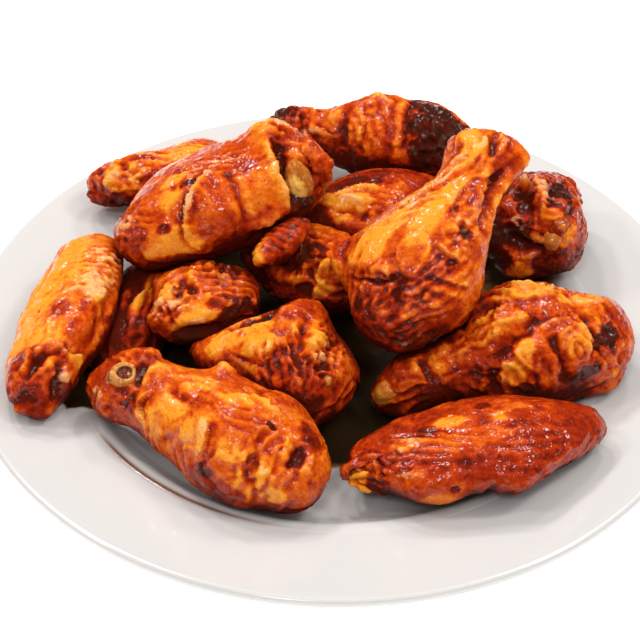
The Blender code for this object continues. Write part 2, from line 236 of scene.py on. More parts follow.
        pale=((0.36, 62, 8, 1.8, -40), (0.45, 75, 8, 1.2, -30)),
        lumps=((0.35, 78, 9, 4, 1.6),),
        pleats=((0.4, 70, 16, 9, 60, 3.4, 0.7),),
        rough=0.6,
        grooves=((((0.2, 64), (0.3, 50), (0.44, 38)), 2.6, 2.2), (((0.3, 92), (0.42, 78), (0.56, 62)), 1.6, 1.5)),
        lips=((((0.2, 100), (0.4, 92), (0.62, 80)), 1.3, 2.0),),
    ),
    "drumette_right_back": dict(
        tip=(55, 66, 33), heel=(82, 36, 34), tone=0.7, char=0.42, wet=0.9,
        gold=((1.18, 52, 3, 6),), orange=((1.05, 60, 4, 4), (0.95, -20, 5, 5)),
        red=((1.0, 110, 7, 8), (0.7, 80, 7, 4), (1.1, 0, 5, 6)),
        dark=((0.65, 5, 10, 12), (0.9, 20, 6, 5), (0.8, 58, 7, 3)),
        pale=((0.74, 76, 7, 2), (0.86, 34, 3, 1.5), (0.98, 72, 4, 2)),
        burnt=((0.65, 0, 9, 12), (0.9, 100, 5, 5), (0.9, 22, 5, 3)),
        creased=((0.85, 80, 12, 16),),
        lumps=(
            (0.72, 80, 7, 5, 2.2), (1.0, 62, 6, 5, 2.4), (1.0, 120, 5, 6, 2.0), (0.95, -15, 6, 7, 2.0),
            (0.6, 5, 12, 9, 5.0), (0.3, 20, 12, 9, 5.0), (0.3, 70, 10, 8, 3.0), (0.9, -25, 8, 7, 3.0),
        ),
        grooves=(
            (((0.6, 60), (0.78, 56), (0.95, 44)), 3.2, 2.4), (((0.85, 100), (0.92, 78), (1.08, 70)), 2.2, 1.9),
            (((0.75, 20), (0.95, 12), (1.15, 15)), 2.4, 2.2),
        ),
        lips=((((0.6, 88), (0.8, 68), (1.0, 56)), 2.2, 2.4), (((0.8, 30), (1.0, 30), (1.15, 34)), 2.0, 2.2)),
    ),
    "drumette_back": dict(
        tip=(-24, 98, 35), heel=(48, 85, 32), tone=0.45, char=0.24, wet=0.6,
        gold=((0.3, 68, 3, 5),),
        orange=((0.52, 62, 7, 9), (0.68, 30, 5, 5), (0.35, 35, 8, 4)),
        rust=((0.6, 60, 7, 16), (0.44, 75, 5, 14), (0.25, 60, 8, 10)),
        red=((0.64, 50, 2.5, 14), (0.2, 40, 9, 5), (0.42, 28, 8, 4), (0.72, 75, 4, 9)),
        # The long spot at angle 3 paints the shade along the wing's lower edge.
        dark=((0.05, 75, 9, 8), (0.38, 50, 2.5, 6), (0.5, 3, 30, 5), (0.9, 60, 12, 16)),
        pale=((0.18, 46, 9, 1.5, 12), (0.0, 85, 4, 4)),
        burnt=((0.88, 60, 12, 16), (0.8, 100, 8, 8), (1.05, 60, 8, 12), (0.03, 90, 4, 3)),
        creased=((0.9, 70, 14, 14), (0.05, 70, 9, 9)),
        pleats=((0.5, 55, 14, 10, 30, 4.0, 0.6), (0.9, 60, 12, 14, 40, 3.4, 0.9)),
        lumps=((0.54, 105, 6, 5, 2.6), (0.32, 80, 5, 6, 1.6), (0.85, 70, 7, 8, 1.6)),
        grooves=(
            (((0.73, 112), (0.72, 65), (0.74, 20)), 1.6, 1.8), (((0.4, 105), (0.39, 65), (0.42, 30)), 1.0, 1.7),
            (((0.15, 100), (0.17, 65), (0.14, 35)), 1.2, 1.8),
        ),
        lips=((((0.46, 95), (0.5, 60), (0.47, 25)), 1.4, 2.2), (((0.2, 66), (0.3, 52), (0.4, 45)), 1.4, 2.0)),
    ),
    "drumette_top_left": dict(
        tip=(-71, 20, 43), heel=(-12, 46, 55), tone=0.46, char=0.16, wet=0.75, rough=0.6,
        gold=((0.1, 22, 12, 6), (0.2, 14, 9, 4), (0.22, 68, 8, 4), (0.28, 90, 6, 3)),
        orange=((0.68, 38, 10, 12), (0.02, 42, 6, 6), (0.8, 92, 6, 4)),
        rust=((0.38, 42, 9, 14), (0.05, 75, 9, 8), (0.6, 60, 6, 8)),
        red=(
            (0.39, 42, 6, 11), (0.66, 66, 7, 3), (0.95, 80, 8, 8), (-0.06, 60, 6, 12),
            (0.42, 14, 9, 7), (0.62, 8, 9, 5), (1.0, 20, 5, 9),
        ),
        dark=(
            # The spots at angle 2 and below paint the shade along the wing's lower edge.
            (0.3, 52, 3, 5), (0.45, 2, 10, 4), (0.85, 60, 3, 9), (0.86, 5, 7, 6), (0.12, 38, 3, 2),
            (0.7, -14, 15, 6), (0.4, -12, 15, 7), (0.12, -12, 14, 5),
        ),
        pale=((0.5, 88, 12, 2.6), (0.3, 58, 3, 5), (-0.04, 74, 4, 3), (0.42, 76, 7, 2), (0.97, 96, 7, 2)),
        burnt=((0.36, 76, 5, 1.8), (0.87, 14, 3, 5), (0.9, -4, 6, 4)),
        creased=((-0.05, 70, 8, 9), (0.34, 66, 9, 9), (0.95, 80, 10, 10)),
        pleats=((0.5, 88, 16, 6, 70, 3.2, 0.9), (0.0, 70, 7, 10, 50, 3.0, 0.7), (0.95, 85, 8, 9, 60, 3.0, 0.9)),
        lumps=(
            (0.39, 38, 8, 13, 3.2), (0.68, 40, 10, 11, 1.8), (0.88, 105, 10, 9, 4.5), (-0.05, 70, 5, 6, 1.5),
            (0.66, 6, 9, 5, 2.0), (0.98, 75, 5, 7, 2.5), (0.1, 55, 8, 6, -1.2),
        ),
        grooves=(
            (((0.9, 88), (0.86, 58), (0.85, 28), (0.83, 0)), 3.6, 2.4), (((0.53, 80), (0.55, 45), (0.52, 12)), 1.3, 1.6),
            (((0.5, -2), (0.62, -4), (0.76, -2)), 2.6, 2.2),
        ),
        lips=(
            (((0.28, 2), (0.2, 22), (0.25, 46), (0.37, 68), (0.52, 88)), 2.8, 2.8),
            (((0.85, 90), (0.81, 60), (0.8, 30), (0.79, 4)), 2.8, 2.8), (((1.02, 86), (1.06, 45), (1.04, 5)), 3.0, 2.6),
        ),
    ),
    "strand_centre_left": dict(
        tip=(-11, 21, 50), heel=(-29, 4, 45), tone=0.66, char=0.12, wet=0.7,
        gold=((0.98, 100, 4, 5), (0.8, 60, 4, 2)), red=((0.3, 60, 7, 6),), dark=((0.0, 90, 3, 4),),
        pale=((0.8, 110, 3, 1.5),), pleats=((0.5, 80, 12, 8, 15, 2.6, 0.7),),
        grooves=((((0.1, 120), (0.5, 130), (0.85, 122)), 0.3, 1.2),),
    ),
    "drumette_top_right": dict(
        tip=(53, 30, 75), heel=(18, -21, 41), tone=0.38, char=0.14, wet=0.7,
        gold=(
            (0.74, 55, 9, 7), (0.1, 85, 9, 4), (0.55, 92, 10, 6), (1.0, 5, 5, 3),
            (0.35, 95, 9, 4), (0.6, 65, 6, 4),
        ),
        orange=((0.92, 122, 6, 6), (0.85, 8, 8, 6), (0.2, 120, 6, 3)),
        red=(
            (0.28, 132, 8, 3), (1.0, 85, 8, 10), (0.92, 162, 11, 7), (0.1, 165, 10, 5), (0.72, 130, 5, 4),
            (0.78, 20, 5, 4), (0.45, 112, 4, 1.5), (0.02, 130, 4, 3), (0.96, 60, 8, 14), (0.86, 125, 8, 12),
        ),
        dark=((1.03, 46, 3, 3), (1.08, 90, 6, 16), (1.04, 150, 4, 4), (0.69, 138, 3, 1.5), (0.9, 100, 5, 3), (1.0, 180, 8, 5)),
        pale=((0.42, 62, 15, 3.5), (0.2, 70, 8, 3), (0.72, 40, 3, 2.5), (0.5, 132, 8, 4), (0.03, 92, 5, 3), (1.03, 168, 6, 2)),
        burnt=((0.52, 136, 3, 3), (0.42, 116, 2, 1), (1.03, 45, 2, 2)),
        creased=((0.5, 135, 10, 8), (0.45, 65, 12, 5), (1.0, 100, 10, 20)),
        pleats=(
            (0.95, 60, 9, 14, 70, 3.4, 0.8), (0.95, 130, 10, 12, 60, 3.2, 0.9), (0.4, 135, 14, 6, 75, 3.2, 0.8),
            (0.45, 66, 14, 6, 60, 3.2, 0.7), (0.76, 140, 13, 10, 70, 3.4, 0.6),
        ),
        rough=0.7,
        lumps=(
            (0.02, 62, 5, 4, 2.6), (0.0, 168, 6, 5, 3.0), (0.74, 58, 9, 8, 1.4), (1.0, 95, 7, 9, 1.6),
            (0.15, 168, 12, 4, 2.0), (0.86, 12, 7, 7, 1.6), (0.85, 150, 8, 6, 1.6), (0.55, 95, 9, 6, 1.0),
        ),
        grooves=(
            (((0.05, 140), (0.2, 148), (0.36, 152), (0.5, 160)), 2.8, 2.2), (((-0.1, 100), (0.0, 112), (0.1, 126)), 2.2, 2.4),
            (((0.65, 108), (0.68, 128), (0.66, 148)), 0.6, 1.3), (((0.8, 118), (0.78, 142), (0.73, 168)), 0.7, 1.4),
            (((0.86, 112), (0.85, 140), (0.8, 165)), 0.7, 1.3),
            (((0.92, 30), (0.91, 60), (0.89, 82), (0.84, 104)), 1.6, 1.6),
            (((0.84, 104), (0.95, 112), (1.06, 118)), 1.2, 1.8), (((0.7, 36), (0.8, 28), (0.92, 26)), 1.4, 1.8),
        ),
        lips=(
            (((0.84, 100), (0.9, 78), (0.92, 50), (0.93, 26)), 1.8, 2.4), (((0.2, 112), (0.35, 108), (0.5, 112)), 1.0, 2.0),
            (((0.72, 165), (0.77, 140), (0.79, 120)), 0.8, 2.0), (((0.64, 148), (0.66, 130), (0.63, 110)), 0.7, 1.8),
            (((0.25, 60), (0.4, 62), (0.55, 55)), 1.2, 2.2),
        ),
    ),
}


# ---------------------------------------------------------------- noise


def lattice(cell, seed):
    """A repeatable direction at each whole-number grid point."""
    mixed = (cell * np.array([73856093, 19349663, 83492791], np.int64)).sum(axis=1) + seed * 1013904223
    parts = []
    for k in range(3):
        n = (mixed + k * 668265263) & 0xFFFFFFFF
        n = ((n ^ (n >> 15)) * 2246822519) & 0xFFFFFFFF
        n = ((n ^ (n >> 13)) * 3266489917) & 0xFFFFFFFF
        n = n ^ (n >> 16)
        parts.append((n & 0xFFFF) / 32767.5 - 1.0)
    return np.stack(parts, axis=1)


def noise(points, size, seed):
    """Smooth gradient noise, from about -1 to 1, with features of this size."""
    p = points / size
    base = np.floor(p).astype(np.int64)
    f = p - base
    u = f * f * f * (f * (f * 6 - 15) + 10)
    total = np.zeros(len(p))
    for corner in range(8):
        step = np.array([corner & 1, (corner >> 1) & 1, corner >> 2])
        weight = np.prod(np.where(step == 1, u, 1 - u), axis=1)
        total += weight * (lattice(base + step, seed) * (f - step)).sum(axis=1)
    return total * 1.4


def fractal(points, size, seed, octaves=3, gain=0.5):
    total = np.zeros(len(points))
    for k in range(octaves):
        total += noise(points, size / 2.0**k, seed + 31 * k) * gain**k
    return total


def warped(points, size, amount, seed):
    return points + amount * np.stack([noise(points, size, seed + 7 * k) for k in range(3)], axis=1)


def smoothstep(low, high, x):
    t = np.clip((x - low) / (high - low), 0.0, 1.0)
    return t * t * (3 - 2 * t)


# ---------------------------------------------------------------- skin


def link(name, mesh):
    obj = bpy.data.objects.new(name, mesh)
    bpy.context.scene.collection.objects.link(obj)
    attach(obj, "root")
    return obj


def read(mesh, what, width=3):
    values = np.empty(len(mesh.vertices) * width)
    mesh.vertices.foreach_get(what, values)
    return values.reshape(-1, width)


def normals_of(mesh):
    values = np.empty(len(mesh.vertices) * 3, np.float32)
    mesh.vertex_normals.foreach_get("vector", values)
    return values.reshape(-1, 3).astype(float)


def write_points(mesh, points):
    mesh.vertices.foreach_set("co", points.astype(np.float32).ravel())
    mesh.update()


def write_value(mesh, name, values):
    layer = mesh.attributes.get(name) or mesh.attributes.new(name, "FLOAT", "POINT")
    layer.data.foreach_set("value", values.astype(np.float32))


def read_value(mesh, name):
    values = np.empty(len(mesh.vertices), np.float32)
    mesh.attributes[name].data.foreach_get("value", values)
    return values.astype(float)


def through(mesh, kind, **settings):
    """The mesh after one modifier."""
    obj = bpy.data.objects.new("worked", mesh)
    bpy.context.scene.collection.objects.link(obj)
    modifier = obj.modifiers.new(kind, kind)
    for key, value in settings.items():
        setattr(modifier, key, value)
    made = bpy.data.meshes.new_from_object(obj.evaluated_get(bpy.context.evaluated_depsgraph_get()))
    bpy.data.objects.remove(obj)
    bpy.data.meshes.remove(mesh)
    return made


def averager(mesh):
    """A function that replaces each vertex's value by the mean of its neighbours'."""
    edges = np.empty(len(mesh.edges) * 2, np.int64)
    mesh.edges.foreach_get("vertices", edges)
    a, b = edges.reshape(-1, 2).T
    count = np.bincount(edges, minlength=len(mesh.vertices)).astype(float)

    def average(values):
        total = np.zeros_like(values)
        np.add.at(total, a, values[b])
        np.add.at(total, b, values[a])
        return total / (count[:, None] if values.ndim == 2 else count)

    return average


def solid_tree(names):
    corners, faces = [], []
    for name in names:
        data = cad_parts[name].data
        start = len(corners)
        corners.extend(vert.co[:] for vert in data.vertices)
        faces.extend([start + i for i in face.vertices] for face in data.polygons)
    return BVHTree.FromPolygons(corners, faces)


def dome_directions(count):
    """Directions over the upper half sphere, thicker towards the top as light falls."""
    k = np.arange(count) + 0.5
    radius = np.sqrt(k / count)
    turn = k * math.pi * (3 - math.sqrt(5))
    return np.stack([radius * np.cos(turn), radius * np.sin(turn), np.sqrt(1 - radius**2)], axis=1)


DOME = dome_directions(SKY_RAYS)


def shelter(points, normals, tree, start=1.2 * MM):
    """Share of the directions out of each point that meet the heap."""
    hidden = np.zeros(len(points))
    for i, (point, normal) in enumerate(zip(points, normals)):
        up = Vector(normal)
        turn = up.to_track_quat("Z", "Y").to_matrix()
        origin = Vector(point) + up * start
        hits = sum(tree.ray_cast(origin, turn @ Vector(way), SKY_REACH)[0] is not None for way in DOME)
        hidden[i] = hits / SKY_RAYS
    return hidden


def base_mesh(node, heap):
    """A smooth, evenly divided copy of a node's solid that keeps its volume."""
    solid = bmesh.new()
    solid.from_mesh(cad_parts[node].data)
    bmesh.ops.remove_doubles(solid, verts=solid.verts, dist=1e-5)
    data = bpy.data.meshes.new("base")
    solid.to_mesh(data)
    tree = BVHTree.FromBMesh(solid)
    solid.free()
    mesh = through(data, "REMESH", mode="VOXEL", voxel_size=VOXEL)
    points = read(mesh, "co")
    average = averager(mesh)
    for _ in range(SMOOTHING):
        points += 0.6 * (average(points) - points)
    write_points(mesh, points)
    normals = normals_of(mesh)
    lost = np.zeros(len(points))
    for i, point in enumerate(points):
        place, normal, _, distance = tree.find_nearest(point)
        lost[i] = math.copysign(distance, (place - Vector(point)).dot(Vector(normals[i])))
    for _ in range(6):
        lost = average(lost)
    points += normals * lost[:, None]
    write_points(mesh, points)
    others = solid_tree(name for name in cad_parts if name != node)
    room = np.ones(len(points))
    for i, point in enumerate(points):
        distance = others.find_nearest(point, CLEAR_OVER)[3]
        if distance is not None:
            room[i] = distance / CLEAR_OVER
    write_value(mesh, "room", smoothstep(0.15, 1.0, room))
    # How much of the sky the heap hides, kept for the painted shade in the skin colour
    write_value(mesh, "deep", average(shelter(points, normals_of(mesh), heap)))
    return through(mesh, "SUBSURF", levels=2, render_levels=2)


class Spine:
    def __init__(self, wing):
        self.tip = np.array(wing["tip"]) * MM
        self.heel = np.array(wing["heel"]) * MM
        run = self.heel - self.tip
        self.length = float(np.linalg.norm(run))
        self.along = run / self.length
        side = np.cross(self.along, (0.0, 0.0, 1.0))
        self.side = side / np.linalg.norm(side)
        self.top = np.cross(self.side, self.along)

    def local(self, points):
        out = points - self.tip
        return np.stack([out @ self.along, out @ self.side, out @ self.top], axis=1)


class Chart:
    """Places on a wing's skin by share of its length and angle round it, measured in millimetres."""

    def __init__(self, spine, points, seed):
        local = spine.local(points)
        self.length = spine.length / MM
        self.along = local[:, 0] / MM
        self.angle = np.degrees(np.arctan2(local[:, 2], local[:, 1]))
        self.radius = np.hypot(local[:, 1], local[:, 2]) / MM
        self.middle = float(np.median(self.radius))
        self.wander = np.stack([fractal(local, 6 * MM, seed + 40 + k, 3, 0.6) for k in range(2)], axis=1)

    def away(self, share, angle, radius=None):
        """Distance along and around from a place to every point, in millimetres."""
        turned = (self.angle - angle + 180) % 360 - 180
        return self.along - share * self.length, np.radians(turned) * (self.radius if radius is None else radius)

    def spot(self, share, angle, along, around, tilt=0.0, rough=0.35):
        """1 inside an uneven patch of these half widths, 0 outside."""
        x, y = self.away(share, angle)
        c, s = math.cos(math.radians(tilt)), math.sin(math.radians(tilt))
        far = np.hypot((c * x + s * y) / along, (c * y - s * x) / around)
        return 1 - smoothstep(0.65, 1.15, far + rough * self.wander[:, 0])

    def line(self, places, wander=1.0):
        """Signed distance in millimetres from a line through places, and how far inside its ends."""
        middle = places[len(places) // 2]
        x, y = self.away(*middle, self.middle)
        x = x + wander * self.wander[:, 0]
        y = y + wander * self.wander[:, 1]
        knots = []
        for share, angle in places:
            turned = (angle - middle[1] + 180) % 360 - 180
            knots.append(((share - middle[0]) * self.length, math.radians(turned) * self.middle))
        knots = curve_through(knots, 4)
        legs = np.diff(knots, axis=0)
        lengths = np.hypot(legs[:, 0], legs[:, 1])
        starts = np.concatenate([[0], np.cumsum(lengths)])
        best, inside = np.full(len(x), 1e3), np.zeros(len(x))
        for (kx, ky), (lx, ly), size, start in zip(knots, legs, lengths, starts):
            dx, dy = x - kx, y - ky
            t = np.clip((dx * lx + dy * ly) / size**2, 0, 1)
            across = (lx * dy - ly * dx) / size
            gap = np.hypot(dx - t * lx, dy - t * ly)
            nearer = gap < np.abs(best)
            best = np.where(nearer, np.copysign(gap, across), best)
            run = start + t * size
            inside = np.where(nearer, np.minimum(run, starts[-1] - run), inside)
        return best, smoothstep(0.0, 0.28, inside / starts[-1])


def curve_through(points, steps):
    """Catmull-Rom points through these ones."""
    pts = np.array(points, float)
    padded = np.vstack([2 * pts[0] - pts[1], pts, 2 * pts[-1] - pts[-2]])
    out = []
    for a, b, c, d in zip(padded, padded[1:], padded[2:], padded[3:]):
        for t in np.arange(steps) / steps:
            bend = (2 * a - 5 * b + 4 * c - d) * t**2 + (3 * b - a - 3 * c + d) * t**3
            out.append(0.5 * (2 * b + (c - a) * t + bend))
    out.append(pts[-1])
    return np.array(out)


def lip(distance, height, width):
    """Cross-section of a skin edge: it swells towards the line and drops away sharply past it."""
    rise = np.exp(np.minimum(distance, 0) / width) * (distance <= 0)
    fall = np.exp(-np.maximum(distance, 0) / (0.45 * width)) * (distance > 0)
    return height * (rise - 0.55 * fall)


def placed_relief(chart, wing):
    """Height in millimetres of the lumps, grooves and skin edges that are listed for a wing."""
    height = np.zeros(len(chart.along))
    for share, angle, along, around, rise in wing.get("lumps", ()):
        x, y = chart.away(share, angle)
        far = np.hypot(x / along, y / around) + 0.12 * chart.wander[:, 0]
        height += rise * np.exp(-(far**2) * 1.6)
    for places, rise, width in wing.get("lips", ()):
        distance, ends = chart.line(places)
        height += lip(distance, rise, width) * ends
    for share, angle, along, around, turn, gap, rise in wing.get("pleats", ()):
        x, y = chart.away(share, angle)
        run = (math.cos(math.radians(turn)) * x + math.sin(math.radians(turn)) * y) / gap
        crest = 1 - np.abs((run + 0.45 * chart.wander[:, 1]) % 1.0 * 2 - 1)
        height += rise * (crest**1.5 - 0.4) * chart.spot(share, angle, along, around)
    for places, depth, width in wing.get("grooves", ()):
        distance, ends = chart.line(places)
        far = np.abs(distance) / width
        height += ends * (-depth * np.exp(-(far**2)) + 0.35 * depth * np.exp(-((far - 1.9) ** 2)))
    return height


def terraces(field, steps):
    """Rises slowly and drops sharply, again and again, as the field grows: laps of drawn-up skin."""
    t = field * steps
    t = t - np.floor(t)
    return np.where(t < 0.82, t / 0.82, (1 - t) / 0.18) - 0.5


def skin_relief(local, seed, creased):
    """Height in millimetres of what every wing has: lumps, laps of skin, creases and pimples."""
    bent = warped(local, 15 * MM, 5 * MM, seed)
    lumps = noise(bent, 15 * MM, seed + 1)
    laps = terraces(noise(warped(bent * np.array([0.6, 1, 1]), 5 * MM, 1.4 * MM, seed + 8), 14 * MM, seed + 2), 2.6)
    laps *= smoothstep(-0.25, 0.2, noise(local, 17 * MM, seed + 3))
    crossed = local * np.array([1.4, 0.8, 0.8])
    wrinkles = 0.55 - np.abs(noise(warped(crossed, 7 * MM, 3.0 * MM, seed + 4), 5.0 * MM, seed + 5)) * 2.2
    wrinkles *= 0.12 + 0.88 * smoothstep(0.15, 0.8, noise(local, 13 * MM, seed + 9) * 0.4 + creased)
    grain = 0.5 - np.abs(noise(warped(local, 4 * MM, 1.2 * MM, seed + 6), 2.9 * MM, seed + 7)) * 1.7
    pimples = noise(local, 1.6 * MM, seed + 10)
    return 1.4 * lumps + 1.2 * laps + 1.0 * wrinkles + 0.3 * grain + 0.2 * pimples


def cavity_of(mesh, height):
    """How far a point lies below its surroundings, near and far ones together: above 0 in folds."""
    average = averager(mesh)
    soft, cavity = height, 0.0
    for rounds, depth in ((5, 0.4), (20, 1.2)):
        for _ in range(rounds):
            soft = average(soft)
        cavity += np.clip((soft - height) / depth, -1.0, 1.0)
    return average(cavity)


def keep_inside(points):
    """The piece stays below the highest point of the solids."""
    top, band = cad_box[1][2], 2 * MM
    over = points[:, 2] > top - band
    points[over, 2] = top - band + band * np.tanh((points[over, 2] - top + band) / band)


PATCH_TONES = (("gold", -0.08), ("orange", 0.28), ("rust", 0.5), ("red", 0.76), ("dark", 1.02))


def build_wing(name, heap):
    wing = WINGS[name]
    spine = Spine(wing)
    seed = 101 * (1 + list(WINGS).index(name))
    mesh = base_mesh(name, heap)
    points = read(mesh, "co")
    room = read_value(mesh, "room")
    chart = Chart(spine, points, seed)
    placed = placed_relief(chart, wing)
    placed = np.where(placed > 0, placed * room, placed)
    points += normals_of(mesh) * placed[:, None] * MM
    write_points(mesh, points)
    local = spine.local(points)
    creased = sum((chart.spot(*spot) for spot in wing.get("creased", ())), np.zeros(len(points)))
    height = skin_relief(local, seed, creased) * wing.get("rough", 1.0)
    moved = np.where(height > 0, height * room, height)
    points += normals_of(mesh) * moved[:, None] * MM
    keep_inside(points)
    write_points(mesh, points)
    mesh.shade_smooth()
    tone = wing["tone"] + 0.24 * fractal(warped(local, 9 * MM, 4 * MM, seed + 11), 9 * MM, seed + 12, 4, 0.65)
    for patches, goal in PATCH_TONES:
        for spot in wing.get(patches, ()):
            tone += 0.8 * chart.spot(*spot) * (goal - tone)
    # Lumps and lips a little more golden, grooves redder: glaze in the grooves, and painted highlight and shade over
    # the relief
    tone -= 0.05 * placed
    roast = wing["char"] - 0.75 + 0.6 * fractal(warped(local, 9 * MM, 5 * MM, seed + 13), 9 * MM, seed + 14, 4, 0.6)
    for spot in wing.get("burnt", ()):
        roast += 1.2 * chart.spot(*spot)
    # Paler places: light skin, and painted highlights of wet sheen
    pale = -0.55 + 0.5 * fractal(local, 7 * MM, seed + 15, 3, 0.6)
    for spot in wing.get("pale", ()):
        pale += 0.9 * chart.spot(*spot)
    write_value(mesh, "cavity", cavity_of(mesh, height + placed))
    write_value(mesh, "tone", tone)
    write_value(mesh, "roast", roast)
    write_value(mesh, "pale", pale)
    skin = link(name + "_skin", mesh)
    mesh.materials.append(skin_material(name, wing))
    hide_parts(name)
    surface = bmesh.new()
    surface.from_mesh(mesh)
    SKINS[name] = (spine, BVHTree.FromBMesh(surface), mesh.materials[0])
    surface.free()


# ---------------------------------------------------------------- bones, gristle and loose strands


SKINS = {}  # spine, surface and material of each finished wing
FAR_OUT = 80 * MM


def on_skin(node, share, angle):
    """The place on a finished skin, and its directions along the wing, round it and outwards."""
    spine, surface, _ = SKINS[node]
    axis = spine.tip + spine.along * spine.length * share
    out = spine.side * math.cos(math.radians(angle)) + spine.top * math.sin(math.radians(angle))
    place, normal, _, _ = surface.ray_cast(Vector(axis + out * FAR_OUT), Vector(-out))
    if place is None:
        place, normal, _, _ = surface.find_nearest(Vector(axis + out * 6 * MM))
    normal = np.array(normal)
    round_it = np.cross(normal, spine.along)
    round_it /= np.linalg.norm(round_it)
    return np.array(place), np.cross(round_it, normal), round_it, normal


def add_piece(name, node, mesh, material, **values):
    """Links a small mesh into the scene, with the same value at every point or one for each."""
    mesh.shade_smooth()
    for key, value in values.items():
        write_value(mesh, key, np.broadcast_to(value, len(mesh.vertices)))
    piece = link(name, mesh)
    mesh.materials.append(material)


def knob(name, node, share, angle, halves, turn, sunk, egg, light, dark, seed):
    """A rounded end of bone or gristle: half sizes along, round and outwards in millimetres."""
    place, along, round_it, out = on_skin(node, share, angle)
    ball = bmesh.new()
    bmesh.ops.create_icosphere(ball, subdivisions=5, radius=1.0)
    mesh = bpy.data.meshes.new(name)
    ball.to_mesh(mesh)
    ball.free()
    unit = read(mesh, "co")
    shape = unit * (1 + 0.14 * fractal(unit, 0.9, seed, 4, 0.5))[:, None]
    shape[:, 0] *= 1 - egg * shape[:, 1]
    shape *= np.array(halves) * MM
    c, s = math.cos(math.radians(turn)), math.sin(math.radians(turn))
    x, y = c * shape[:, 0] - s * shape[:, 1], s * shape[:, 0] + c * shape[:, 1]
    height = shape[:, 2] - sunk * MM
    points = place + x[:, None] * along + y[:, None] * round_it + height[:, None] * out
    write_points(mesh, points)
    rim = 1 - smoothstep(0.15, 0.9, height / (halves[2] * MM))
    add_piece(name, node, mesh, gristle_material(name, light, dark), stain=rim)


HOLE_SHIFT = (1.6, 1.6)  # the marrow sits off the middle of the bone


def cut_bone(name, node, share, angle, halves, wall, rise, facing, light, dark, seed):
    """The sawn end of a hollow bone: half sizes along and round, wall, height and the way it faces."""
    place, along, round_it, _ = on_skin(node, share, angle)
    out = np.array(facing) / np.linalg.norm(facing)
    round_it = np.cross(out, along)
    round_it /= np.linalg.norm(round_it)
    along = np.cross(round_it, out)
    share_of_wall = wall / halves[0]
    profile = [(1.3, -4.5), (1.2, -1.5), (1.08, rise - 0.9), (1.0, rise - 0.2), (0.93, rise)]
    profile += [(1 - 0.7 * share_of_wall, rise - 0.1), (1 - share_of_wall, rise - 0.5)]
    profile += [(0.96 - share_of_wall, rise - 0.9), (0.5 * (1 - share_of_wall), rise - 0.8), (0.0, rise - 0.7)]
    profile = curve_through(profile, 5)
    turns = np.arange(64) * 2 * math.pi / 64
    radius, height = np.meshgrid(profile[:-1, 0], np.ones(64), indexing="ij")[0], np.repeat(profile[:-1, 1], 64)
    turn = np.tile(turns, len(profile) - 1)
    radius = radius.ravel()
    wobble = 1 + 0.08 * np.sin(2 * turn + 0.6) + 0.05 * np.sin(3 * turn + 2.0) + 0.03 * np.sin(5 * turn)
    flat = np.stack([radius * np.cos(turn), radius * np.sin(turn), height / 6], axis=1)
    rough = 0.35 * fractal(flat, 0.35, seed, 4, 0.65)
    x = radius * wobble * halves[0] * np.cos(turn)
    y = radius * wobble * halves[1] * np.sin(turn)
    inside = smoothstep(share_of_wall * 0.5, share_of_wall * 1.1, 1 - radius)
    x += 0.20 * wall * inside * HOLE_SHIFT[0]
    y += 0.20 * wall * inside * HOLE_SHIFT[1]
    height = height + rough * (0.8 + inside)
    points = place + MM * (x[:, None] * along + y[:, None] * round_it + height[:, None] * out)
    middle = place + MM * (rise - 0.7) * out
    mesh = rings_mesh(name, points.reshape(-1, 64, 3), (None, middle))
    blotch = 0.6 * smoothstep(0.52, 0.75, 0.5 + 0.5 * fractal(flat, 0.7, seed + 1, 3, 0.6))
    add_piece(name, node, mesh, gristle_material(name, light, dark), stain=np.append(np.maximum(inside, blotch), 1.0))


def rings_mesh(name, rings, poles):
    """A mesh through rings of points, closed at either end that has a pole."""
    count, turns = rings.shape[:2]
    points = rings.reshape(-1, 3).tolist()
    faces = []
    for ring in range(count - 1):
        for k in range(turns):
            a, b = ring * turns + k, ring * turns + (k + 1) % turns
            faces.append((a, b, b + turns, a + turns))
    for pole, ring in zip(poles, (0, count - 1)):
        if pole is None:
            continue
        points.append(list(pole))
        for k in range(turns):
            a, b = ring * turns + k, ring * turns + (k + 1) % turns
            faces.append((b, a, len(points) - 1) if ring == 0 else (a, b, len(points) - 1))
    mesh = bpy.data.meshes.new(name)
    mesh.from_pydata(points, [], faces)
    mesh.update()
    return mesh


